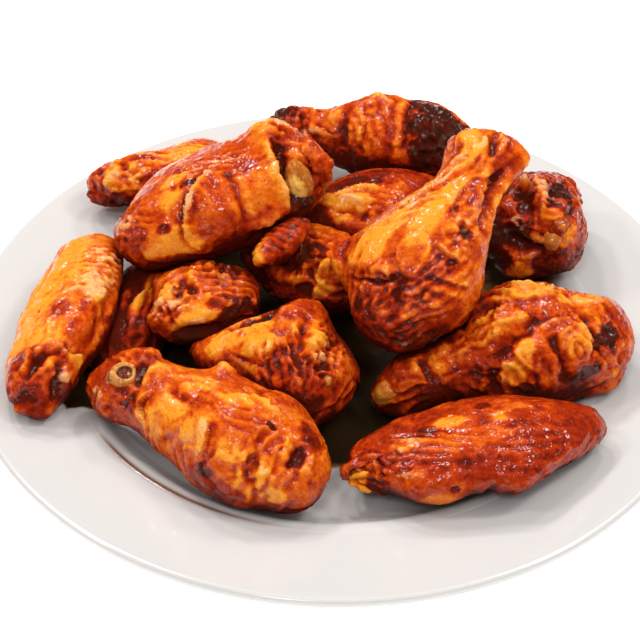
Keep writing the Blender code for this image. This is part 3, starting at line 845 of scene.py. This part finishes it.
def strand(name, node, places, half_width, half_height, lift, seed, tone):
    """A flap or strand of skin laid through places on a wing, thickest in the middle."""
    path, ups = [], []
    for share, angle, extra in places:
        place, _, _, out = on_skin(node, share, angle)
        path.append(place + out * (lift + extra) * MM)
        ups.append(out)
    path, ups = curve_through(path, 10), curve_through(ups, 10)
    ahead = np.gradient(path, axis=0)
    ahead /= np.linalg.norm(ahead, axis=1)[:, None]
    sides = np.cross(ahead, ups)
    sides /= np.linalg.norm(sides, axis=1)[:, None]
    ups = np.cross(sides, ahead)
    run = np.linspace(0, 1, len(path))
    swell = np.sqrt(np.clip(1 - (2 * run - 1) ** 2, 0, 1)) * 0.85 + 0.12
    ragged = 1 + 0.7 * fractal(path, 4 * MM, seed + 5, 2, 0.6)
    turns = np.arange(28) * 2 * math.pi / 28
    rings = np.empty((len(path), 28, 3))
    for i, (place, side, up) in enumerate(zip(path, sides, ups)):
        across = np.cos(turns) * half_width * MM * swell[i] * ragged[i]
        height = np.sin(turns) * half_height * MM * swell[i]
        rings[i] = place + across[:, None] * side + height[:, None] * up
    flat = rings.reshape(-1, 3)
    middle = np.repeat(path, 28, axis=0)
    out = flat - middle
    out /= np.linalg.norm(out, axis=1)[:, None]
    bumps = fractal(warped(flat, 5 * MM, 2 * MM, seed), 4 * MM, seed + 1, 3, 0.6)
    rings = (flat + out * bumps[:, None] * 0.8 * half_height * MM).reshape(rings.shape)
    mesh = rings_mesh(name, rings, (path[0], path[-1]))
    # Raised bumps get the painted highlight of ridges, sunk parts the painted shade of folds
    cavity = np.append(-1.2 * bumps, (0.0, 0.0))
    tone = tone + 0.35 * np.append(fractal(flat, 5 * MM, seed + 9, 4, 0.65), (0.0, 0.0))
    add_piece(name, node, mesh, SKINS[node][2], tone=tone, roast=-0.9, pale=-0.5, deep=0.2, cavity=cavity)


def gristle_material(name, light, dark):
    n = Nodes(name)
    patches = n.noise(420.0, 4.0, 0.65)
    stain = n.math("MULTIPLY_ADD", patches, 0.9, n.math("ADD", n.attribute("stain"), -0.45))
    color = n.mix(n.between(stain, 0.25, 0.85), light, dark)
    color = n.mix(n.between(n.noise(900.0, 3.0, 0.6), 0.5, 0.75), color, tuple(0.55 * c for c in light))
    n.set(Base_Color=color, Roughness=0.32, Specular_IOR_Level=0.1)
    n.set(Subsurface_Weight=0.15, Subsurface_Radius=(1.0, 0.5, 0.2), Subsurface_Scale=0.0012)
    n.set(Coat_Weight=n.between(patches, 0.4, 0.55), Coat_IOR=1.4, Coat_Roughness=0.15)
    n.set(Normal=n.bump(n.noise(700.0, 3.0, 0.6), 0.0004, 0.6))
    return n.material


CREAM, YELLOW, BONE_BROWN = (0.64, 0.26, 0.06), (0.82, 0.42, 0.055), (0.46, 0.12, 0.010)
MARROW = (0.13, 0.024, 0.012)


def build_extras():
    """The bone ends, gristle, flaps and strands that stick out of the wings."""
    cut_bone("bone_ring", "drumette_front_left", 0.13, 82, (3.5, 4.1), 1.4, 2.4, (0.15, -0.42, 0.9), CREAM, MARROW, 31)
    # The gristle knob's light colour is set very bright: painted light to lift the shade it sits in
    knob("gristle_knob", "drumette_top_left", 0.89, 30, (4.8, 8.2, 4.6), 8, 1.2, 0.18, (1.0, 0.66, 0.14), BONE_BROWN, 32)
    knob("bone_tip", "drumette_right", -0.02, 50, (5.0, 4.0, 3.2), 0, 1.9, 0.1, YELLOW, BONE_BROWN, 33)
    knob("bone_back", "drumette_right_back", 1.16, 34, (3.4, 4.6, 3.0), 20, 1.5, 0.1, CREAM, BONE_BROWN, 34)
    knob("gristle_back", "drumette_right_back", 1.16, 58, (3.4, 5.0, 3.4), 0, 1.5, 0.1, (0.60, 0.16, 0.01), RED, 35)
    knob("bone_bit", "drumette_centre", 1.08, 36, (1.6, 1.9, 1.5), 0, 0.5, 0.1, CREAM, BONE_BROWN, 36)
    knob("bone_chip", "flat_centre_left", 0.5, 65, (1.0, 1.8, 1.0), 30, 0.3, 0.1, CREAM, BONE_BROWN, 37)
    strand(
        "flap_top_left", "drumette_top_left", ((0.97, 78, 0), (1.04, 52, 0.8), (1.06, 28, 1.0), (1.03, 2, 0.2)),
        3.4, 1.3, 0.3, 41, tone=0.62,
    )
    strand(
        "tendon_front_right", "flat_front_right", ((1.0, 142, 0), (1.07, 156, 0.6), (1.06, 172, 0.6), (1.0, 184, 0)),
        1.2, 1.2, 0.2, 42, tone=0.0,
    )
    strand(
        "fray_front_right", "flat_front_right", ((0.93, 118, 0), (1.06, 124, 0.8), (1.12, 140, 1.4), (1.1, 165, 1.0)),
        2.0, 1.4, 0.6, 43, tone=0.7,
    )




# ---------------------------------------------------------------- materials


class Nodes:
    """Short calls for building one material's node tree."""

    def __init__(self, name):
        self.material = bpy.data.materials.new(name)
        self.material.use_nodes = True
        self.tree = self.material.node_tree
        self.shader = self.tree.nodes["Principled BSDF"]

    def add(self, kind, inputs=(), **settings):
        node = self.tree.nodes.new(kind)
        for key, value in settings.items():
            setattr(node, key, value)
        for key, value in dict(inputs).items():
            self.put(node.inputs[key], value)
        return node

    def put(self, socket, value):
        if isinstance(value, bpy.types.NodeSocket):
            self.tree.links.new(value, socket)
        else:
            socket.default_value = value

    def attribute(self, name):
        return self.add("ShaderNodeAttribute", attribute_name=name).outputs["Fac"]

    def math(self, operation, a, b=0.0, c=0.0):
        node = self.add("ShaderNodeMath", operation=operation)
        for socket, value in zip(node.inputs, (a, b, c)):
            self.put(socket, value)
        return node.outputs[0]

    def between(self, value, low, high):
        """0 below low, 1 above high, smooth between."""
        node = self.add("ShaderNodeMapRange", {"Value": value, "From Min": low, "From Max": high})
        node.interpolation_type = "SMOOTHSTEP"
        return node.outputs["Result"]

    def mix(self, share, a, b, blend="MIX"):
        node = self.add("ShaderNodeMix", data_type="RGBA", blend_type=blend)
        self.put(node.inputs["Factor"], share)
        for socket, value in ((node.inputs[6], a), (node.inputs[7], b)):
            self.put(socket, (*value, 1.0) if isinstance(value, tuple) else value)
        return node.outputs[2]

    def noise(self, scale, detail=3.0, roughness=0.55, distortion=0.0):
        place = self.add("ShaderNodeTexCoord").outputs["Object"]
        node = self.add("ShaderNodeTexNoise", {"Vector": place, "Scale": scale, "Detail": detail,
                                               "Roughness": roughness, "Distortion": distortion})
        return node.outputs["Fac"]

    def ramp(self, value, stops):
        node = self.add("ShaderNodeValToRGB", {"Fac": value})
        ramp = node.color_ramp
        while len(ramp.elements) < len(stops):
            ramp.elements.new(0.5)
        for element, (place, color) in zip(ramp.elements, stops):
            element.position = place
            element.color = (*color, 1.0)
        return node.outputs["Color"]

    def bump(self, height, distance, strength=1.0, after=None):
        node = self.add("ShaderNodeBump", {"Height": height, "Distance": distance, "Strength": strength})
        if after is not None:
            self.put(node.inputs["Normal"], after)
        return node.outputs["Normal"]

    def set(self, **values):
        for key, value in values.items():
            self.put(self.shader.inputs[key.replace("_", " ")], value)


GOLD = (0.86, 0.30, 0.020)
AMBER = (0.76, 0.175, 0.009)
ORANGE = (0.62, 0.084, 0.003)
RED_ORANGE = (0.43, 0.034, 0.002)
RED = (0.28, 0.015, 0.002)
DARK = (0.090, 0.007, 0.002)
CHAR = (0.045, 0.012, 0.006)
# Light skin, and the colour of painted highlights
PALE = (0.95, 0.51, 0.21)
SPECK = (0.045, 0.010, 0.003)


def skin_material(name, wing):
    n = Nodes("skin_" + name)
    wet = wing["wet"]
    broad = n.noise(110.0, 4.0, 0.6, 0.8)
    mottle = n.noise(300.0, 5.0, 0.68, 0.8)
    fine = n.noise(900.0, 4.0, 0.62)
    cavity = n.attribute("cavity")
    deep = n.attribute("deep")
    # The tone runs from gold at 0 to dark red at 1
    tone = n.math("MULTIPLY_ADD", mottle, 0.48, n.math("ADD", n.attribute("tone"), -0.24))
    tone = n.math("MULTIPLY_ADD", broad, 0.38, n.math("ADD", tone, -0.19))
    tone = n.math("MULTIPLY_ADD", fine, 0.55, n.math("ADD", tone, -0.27))
    # Darker red in folds: sauce gathered there, and painted shade in the creases
    tone = n.math("MULTIPLY_ADD", cavity, 0.26, tone)
    # Painted shade: the tone runs towards dark red where the heap hides the sky
    tone = n.math("MULTIPLY_ADD", n.between(deep, 0.35, 0.95), 0.55, tone)
    roast = n.math("MULTIPLY_ADD", mottle, 1.5, n.math("ADD", n.attribute("roast"), -0.75))
    roast = n.math("MULTIPLY_ADD", fine, 0.8, n.math("ADD", roast, -0.4))
    tone = n.math("MULTIPLY_ADD", n.between(roast, -0.2, 0.6), 0.6, tone)
    color = n.ramp(tone, ((0.0, GOLD), (0.18, AMBER), (0.4, ORANGE), (0.6, RED_ORANGE), (0.78, RED), (1.0, DARK)))
    # Paler places: light skin, and painted highlights of wet sheen
    pale = n.math("MULTIPLY_ADD", fine, 1.6, n.math("ADD", n.attribute("pale"), -0.8))
    # Paler still on ridges: painted highlight
    pale = n.math("MULTIPLY_ADD", cavity, -0.5, pale)
    color = n.mix(n.math("MULTIPLY", n.between(pale, 0.25, 0.95), 0.6), color, PALE)
    color = n.mix(n.math("MULTIPLY", n.between(roast, 0.3, 0.95), 0.8), color, CHAR)
    specks = n.between(n.noise(1300.0, 2.0, 0.5), 0.66, 0.72)
    color = n.mix(n.math("MULTIPLY", specks, 0.7), color, SPECK)
    n.set(Base_Color=color)
    n.set(Roughness=n.math("MULTIPLY_ADD", mottle, 0.4, 0.28 - 0.1 * wet))
    n.set(Subsurface_Weight=0.06, Subsurface_Radius=(1.0, 0.3, 0.1), Subsurface_Scale=0.0016)
    n.set(Specular_IOR_Level=0.03, Coat_IOR=1.42, Coat_Roughness=0.15)
    sauce = n.math("MULTIPLY_ADD", fine, 0.4, n.noise(170.0, 3.0, 0.6))
    sauce = n.between(sauce, 0.78 - 0.2 * wet, 0.86 - 0.2 * wet)
    n.set(Coat_Weight=n.math("MULTIPLY", sauce, n.between(deep, 0.8, 0.4)))
    n.set(Normal=n.bump(fine, 0.0005, 0.8, n.bump(mottle, 0.0010, 0.7)))
    n.set(Coat_Normal=n.bump(n.noise(430.0, 1.5, 0.5, 0.6), 0.0007, 0.7))
    return n.material


def china_material():
    """White glaze with brown cooking juices and painted near-black shade under the heap."""
    n = Nodes("plate_glaze")
    cloud = n.noise(9.0, 3.0)
    glaze = n.mix(cloud, (0.585, 0.57, 0.56), (0.615, 0.60, 0.59))
    juice_and_shade = n.math("MULTIPLY_ADD", n.noise(90.0, 4.0, 0.6), 0.3, n.math("ADD", n.attribute("covered"), -0.15))
    # Brown: cooking juices on the plate, darkened as painted shade
    stained_and_shaded = n.mix(n.between(juice_and_shade, 0.26, 0.44), glaze, (0.30, 0.15, 0.06))
    # Near black: painted shade in the gaps between wings
    color = n.mix(n.between(juice_and_shade, 0.34, 0.54), stained_and_shaded, (0.022, 0.012, 0.004))
    # Painted shade and reflection: a thin brown line along the shoulder of the well
    streak = n.math("MULTIPLY", n.attribute("streak"), n.between(n.noise(70.0, 2.0), 0.05, 0.4))
    color = n.mix(streak, color, (0.16, 0.06, 0.025))
    n.set(Base_Color=color, Roughness=n.math("MULTIPLY_ADD", cloud, 0.08, 0.13))
    n.set(IOR=1.5, Coat_Weight=0.3, Coat_Roughness=0.05)
    n.set(Normal=n.bump(n.noise(60.0, 2.0), 0.0006, 0.12))
    return n.material


def floor_material():
    n = Nodes("floor_white")
    white = n.mix(n.noise(3.0), (0.93, 0.93, 0.93), (0.96, 0.96, 0.96))
    n.set(Base_Color=white, Roughness=0.7, Emission_Color=white, Emission_Strength=0.45)
    return n.material


# ---------------------------------------------------------------- plate


PLATE_TURNS = 200
FLOOR_RINGS = 38  # rings of faces over the flat middle, fine enough for the brown juices and painted shade
PLATE_OUTLINE = (  # radius and height of the glazed skin, from the middle over the rim to the foot
    (74, 7.1), (79, 7.7), (83.5, 9.3), (87.0, 11.7), (89.6, 14.0),
    (91.4, 15.25), (93.2, 15.75), (94.4, 15.9), (95.4, 16.0), (96.5, 16.15), (106, 18.0), (116, 20.1), (123, 21.7), (126.6, 22.6),
    (128.4, 22.95), (129.3, 22.8), (129.85, 22.2), (130, 21.4), (129.8, 20.6), (129.2, 20.0),
    (127, 19.2), (117, 16.6), (106, 14.0), (97, 11.7), (91, 9.4), (85, 6.2), (79, 3.9), (75.2, 2.6),
    (74.2, 1.2), (73.4, 0.3), (72, 0.0), (69, 0.0), (67.6, 0.3), (66.8, 1.2), (65, 2.5), (60, 2.8), (0, 2.8),
)


JUICE_AND_SHADE_POOLS = ((0, 12, 86, 70), (-88, -28, 13, 12))  # middle and half sizes of the places where the plate gets brown cooking juices and painted shade
STREAK_RADIUS, STREAK_WIDTH = 94.6, 0.95  # a painted brown line of shade and reflection on the shoulder of the well
STREAK_TURN = (-152, -92)  # where the line starts and ends, in degrees round the plate


def build_plate(heap):
    middle = [(74.0 * k / FLOOR_RINGS, 7.0) for k in range(FLOOR_RINGS)]
    profile = np.vstack([middle, curve_through(PLATE_OUTLINE, 3)])
    profile[:, 0] = np.clip(profile[:, 0], 0, 130)
    profile[:, 1] = np.clip(profile[:, 1], 0, 23)
    mesh = bmesh.new()
    rings = []
    for radius, height in profile[1:-1]:
        turn = np.arange(PLATE_TURNS) * 2 * math.pi / PLATE_TURNS
        rings.append([mesh.verts.new((radius * MM * math.cos(a), radius * MM * math.sin(a), height * MM)) for a in turn])
    for inner, outer in zip(rings, rings[1:]):
        for k in range(PLATE_TURNS):
            after = (k + 1) % PLATE_TURNS
            mesh.faces.new((inner[k], outer[k], outer[after], inner[after]))
    for ring, height in ((rings[0], profile[0][1]), (rings[-1], profile[-1][1])):
        pole = mesh.verts.new((0, 0, height * MM))
        for k in range(PLATE_TURNS):
            mesh.faces.new((pole, ring[k], ring[(k + 1) % PLATE_TURNS]))
    bmesh.ops.recalc_face_normals(mesh, faces=mesh.faces)
    data = bpy.data.meshes.new("plate_fine")
    mesh.to_mesh(data)
    mesh.free()
    data.shade_smooth()
    points, normals = read(data, "co"), normals_of(data)
    covered = np.zeros(len(points))
    near = (np.hypot(points[:, 0], points[:, 1]) < 118 * MM) & (normals[:, 2] > 0.3)
    covered[near] = shelter(points[near], normals[near], heap, 0.5 * MM)
    average = averager(data)
    for _ in range(3):
        covered = average(covered)
    x, y = points[:, 0] / MM, points[:, 1] / MM
    juice_and_shade_zone = np.zeros(len(points))
    for middle_x, middle_y, half_x, half_y in JUICE_AND_SHADE_POOLS:
        inside = 1 - smoothstep(0.92, 1.1, np.hypot((x - middle_x) / half_x, (y - middle_y) / half_y))
        juice_and_shade_zone = np.maximum(juice_and_shade_zone, inside)
    write_value(data, "covered", covered * juice_and_shade_zone)
    low, high = STREAK_TURN
    turn = np.degrees(np.arctan2(y, x))
    streak = smoothstep(low, low + 12, turn) * (1 - smoothstep(high - 25, high, turn))
    across = (np.hypot(x, y) - STREAK_RADIUS) / STREAK_WIDTH
    write_value(data, "streak", streak * np.exp(-(across**2)) * (normals[:, 2] > 0))
    plate = link("plate_fine", data)
    data.materials.append(china_material())
    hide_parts("plate")


# ---------------------------------------------------------------- stage


LAMPS = (  # place and size in metres, power in watts, whether the sauce mirrors it
    ("key", (-0.50, 0.40, 0.95), 0.16, 3.0, True),
    ("key_back", (-0.24, 0.62, 0.92), 0.16, 2.8, True),
    ("back", (0.25, 0.62, 0.90), 0.16, 2.0, True),
    ("left", (-0.72, -0.10, 0.85), 0.16, 1.9, True),
    ("front", (-0.20, -0.75, 0.95), 0.20, 2.5, True),
    ("right", (0.62, 0.00, 1.00), 0.20, 2.9, True),
    ("fill", (0.35, -0.45, 1.20), 1.20, 6.6, False),
)


def area_light(name, place, target, size, power, color=(1, 1, 1)):
    light = bpy.data.lights.new(name, "AREA")
    light.shape = "DISK"
    light.size = size
    light.energy = power
    light.color = color
    obj = bpy.data.objects.new(name, light)
    bpy.context.scene.collection.objects.link(obj)
    obj.location = place
    obj.rotation_euler = (Vector(target) - Vector(place)).to_track_quat("-Z", "Y").to_euler()
    return obj


def build_stage():
    mesh = bmesh.new()
    bmesh.ops.create_grid(mesh, x_segments=2, y_segments=2, size=3.0)
    data = bpy.data.meshes.new("floor")
    mesh.to_mesh(data)
    mesh.free()
    floor = bpy.data.objects.new("floor", data)
    floor.location.z = -0.0003
    bpy.context.scene.collection.objects.link(floor)
    data.materials.append(floor_material())
    world = bpy.data.worlds.new("studio")
    world.use_nodes = True
    world.node_tree.nodes["Background"].inputs["Color"].default_value = (1.0, 0.99, 0.98, 1.0)
    world.node_tree.nodes["Background"].inputs["Strength"].default_value = 0.40
    world.cycles_visibility.glossy = False  # soft fill that leaves no grey veil on the glossy sauce
    bpy.context.scene.world = world
    for name, place, size, power, mirrored in LAMPS:
        lamp = area_light(name, place, (0, 0, 0.03), size, power, (1.0, 0.985, 0.96))
        lamp.visible_glossy = mirrored


CAMERA_RISE = math.radians(40.92)
CAMERA_ROLL = math.radians(0.438)
CAMERA_TARGET = Vector((-0.00549, 0.02546, 0.0))
CAMERA_DISTANCE = 0.65
CAMERA_LENS = 97.15


def build_camera():
    back = Vector((0, -math.cos(CAMERA_RISE), math.sin(CAMERA_RISE)))
    right = Vector((1, 0, 0))
    up = back.cross(right)
    turn = Matrix.Rotation(CAMERA_ROLL, 3, back)
    camera = bpy.data.cameras.new("camera")
    camera.sensor_fit = "HORIZONTAL"
    camera.sensor_width = 36.0
    camera.lens = CAMERA_LENS
    camera.clip_start = 0.01
    obj = bpy.data.objects.new("camera", camera)
    bpy.context.scene.collection.objects.link(obj)
    axes = Matrix((turn @ right, turn @ up, back)).transposed().to_4x4()
    axes.translation = CAMERA_TARGET + back * CAMERA_DISTANCE
    obj.matrix_world = axes
    bpy.context.scene.camera = obj


build_camera()
build_stage()
build_plate(solid_tree(WINGS))
heap = solid_tree(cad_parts)
for wing_name in WINGS:
    build_wing(wing_name, heap)
build_extras()
bpy.context.scene.view_settings.view_transform = "Standard"
